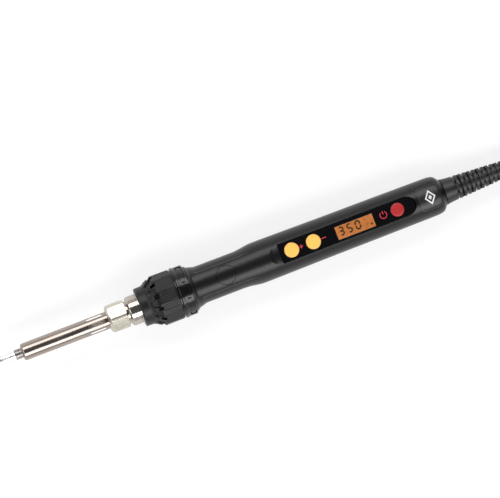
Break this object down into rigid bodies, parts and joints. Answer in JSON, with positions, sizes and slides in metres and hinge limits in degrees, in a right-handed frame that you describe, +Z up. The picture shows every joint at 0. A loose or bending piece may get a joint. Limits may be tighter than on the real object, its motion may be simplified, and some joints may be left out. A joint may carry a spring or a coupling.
{
  "type": "soldering iron",
  "caption": "Pen-style thermostatic soldering iron with a slotted steel barrel, vented heat collar, push-button panel with a display, ribbed strain relief and a tied mains lead.",
  "frame": {"origin": "on the bench under the middle of the iron, tip to strain relief, as it lies on its front ring and the rear of its handle", "axes": "+X runs along the iron towards its cord, +Z up out of the control panel, +Y to the left when looking along +X"},
  "size_m": [0.502, 0.0522, 0.0269],
  "materials": {
    "tip_plating": "chromium-plated and tinned copper, satin",
    "ceramic": "fired alumina, matte",
    "stainless_barrel": "polished stainless tube, faintly brushed along its length",
    "nickel_nut": "bright nickel plating on milled flats",
    "chrome_bush": "turned and chromed, mirror bright",
    "spring_steel": "plain steel",
    "collar_plastic": "heat-resistant moulded plastic, satin",
    "handle_plastic": "moulded plastic with a fine spark texture, satin",
    "badge_plastic": "moulded plastic, smoother than the handle",
    "panel_gloss": "gloss black acrylic overlay",
    "circuit_board": "green solder mask on glass laminate",
    "zinc_screws": "zinc-plated steel",
    "yellow_button": "warm yellow moulded silicone, satin",
    "red_button": "red moulded silicone, satin",
    "chip_plastic": "moulded epoxy and black plastic",
    "display_amber": "amber liquid-crystal display glass",
    "light_guide": "frosted light guide",
    "component_body": "lacquered component bodies",
    "red_lead": "silicone-insulated wire, red",
    "blue_lead": "silicone-insulated wire, blue",
    "boot_rubber": "moulded flexible PVC, satin",
    "cord_jacket": "round flexible mains lead, satin",
    "tie_fabric": "woven hook-and-loop strap",
    "plug_pvc": "moulded PVC plug, satin",
    "plug_brass": "nickel-flashed brass pins"
  },
  "bodies": {
    "handle": {"badge_plate": "badge_plastic", "board_screw_1": "zinc_screws", "board_screw_2": "zinc_screws", "circuit_board": "circuit_board", "clamp_screw_1": "zinc_screws", "clamp_screw_2": "zinc_screws", "cord_clamp": "handle_plastic", "cord_entry": "cord_jacket", "cord_hank": "cord_jacket", "cord_tail": "cord_jacket", "display_panel": "panel_gloss", "electrolytic_capacitor": "chip_plastic", "film_capacitor": "component_body", "front_ring": "collar_plastic", "front_screw": "zinc_screws", "fuse": "ceramic", "hank_tie": "tie_fabric", "heat_collar": "collar_plastic", "heater_core": "ceramic", "heater_lead_1": "red_lead", "heater_lead_2": "red_lead", "heater_mount": "chip_plastic", "lcd_connector": "chip_plastic", "lcd_glass": "display_amber", "lcd_light_box": "light_guide", "live_lead": "red_lead", "lock_ring": "spring_steel", "lower_shell": "handle_plastic", "microcontroller": "chip_plastic", "minus_switch": "chip_plastic", "neutral_lead": "blue_lead", "plug_body": "plug_pvc", "plug_pin_1": "plug_brass", "plug_pin_2": "plug_brass", "plus_switch": "chip_plastic", "power_cord": "cord_jacket", "power_resistor": "component_body", "power_switch": "chip_plastic", "rear_screw_1": "zinc_screws", "rear_screw_2": "zinc_screws", "screw_cap": "handle_plastic", "sensor_lead_1": "blue_lead", "sensor_lead_2": "blue_lead", "strain_boot": "boot_rubber", "threaded_bush": "chrome_bush", "triac": "chip_plastic", "upper_shell": "handle_plastic"},
    "nut": {"barrel_nut": "nickel_nut"},
    "barrel": {"barrel_tube": "stainless_barrel"},
    "tip": {"soldering_tip": "tip_plating"},
    "plus_key": {"plus_button": "yellow_button", "plus_plunger": "chip_plastic"},
    "minus_key": {"minus_button": "yellow_button", "minus_plunger": "chip_plastic"},
    "power_key": {"power_button": "red_button", "power_plunger": "chip_plastic"}
  },
  "joints": [
    {"name": "barrel_slide", "type": "slide", "parent": "handle", "child": "barrel", "axis": [-0.9997, 0, 0.024], "range_m": [0, 0.005]},
    {"name": "nut_spin", "type": "hinge", "parent": "barrel", "child": "nut", "pos_m": [-0.07648, 0, 0.01427], "axis": [-0.9997, 0, 0.024], "range_deg": [0, 1800]},
    {"name": "tip_turn", "type": "hinge", "parent": "barrel", "child": "tip", "pos_m": [-0.11797, 0, 0.01527], "axis": [-0.9997, 0, 0.024], "continuous": true},
    {"name": "plus_press", "type": "slide", "parent": "handle", "child": "plus_key", "axis": [-0.024, 0, -0.9997], "range_m": [0, 0.0006], "stiffness_N_per_m": 1500},
    {"name": "minus_press", "type": "slide", "parent": "handle", "child": "minus_key", "axis": [-0.024, 0, -0.9997], "range_m": [0, 0.0006], "stiffness_N_per_m": 1500},
    {"name": "power_press", "type": "slide", "parent": "handle", "child": "power_key", "axis": [-0.024, 0, -0.9997], "range_m": [0, 0.0006], "stiffness_N_per_m": 1500}
  ],
  "couplings": [
    {"joint": "nut_spin", "follows": "barrel_slide", "rad_per_m": 6283.2}
  ]
}
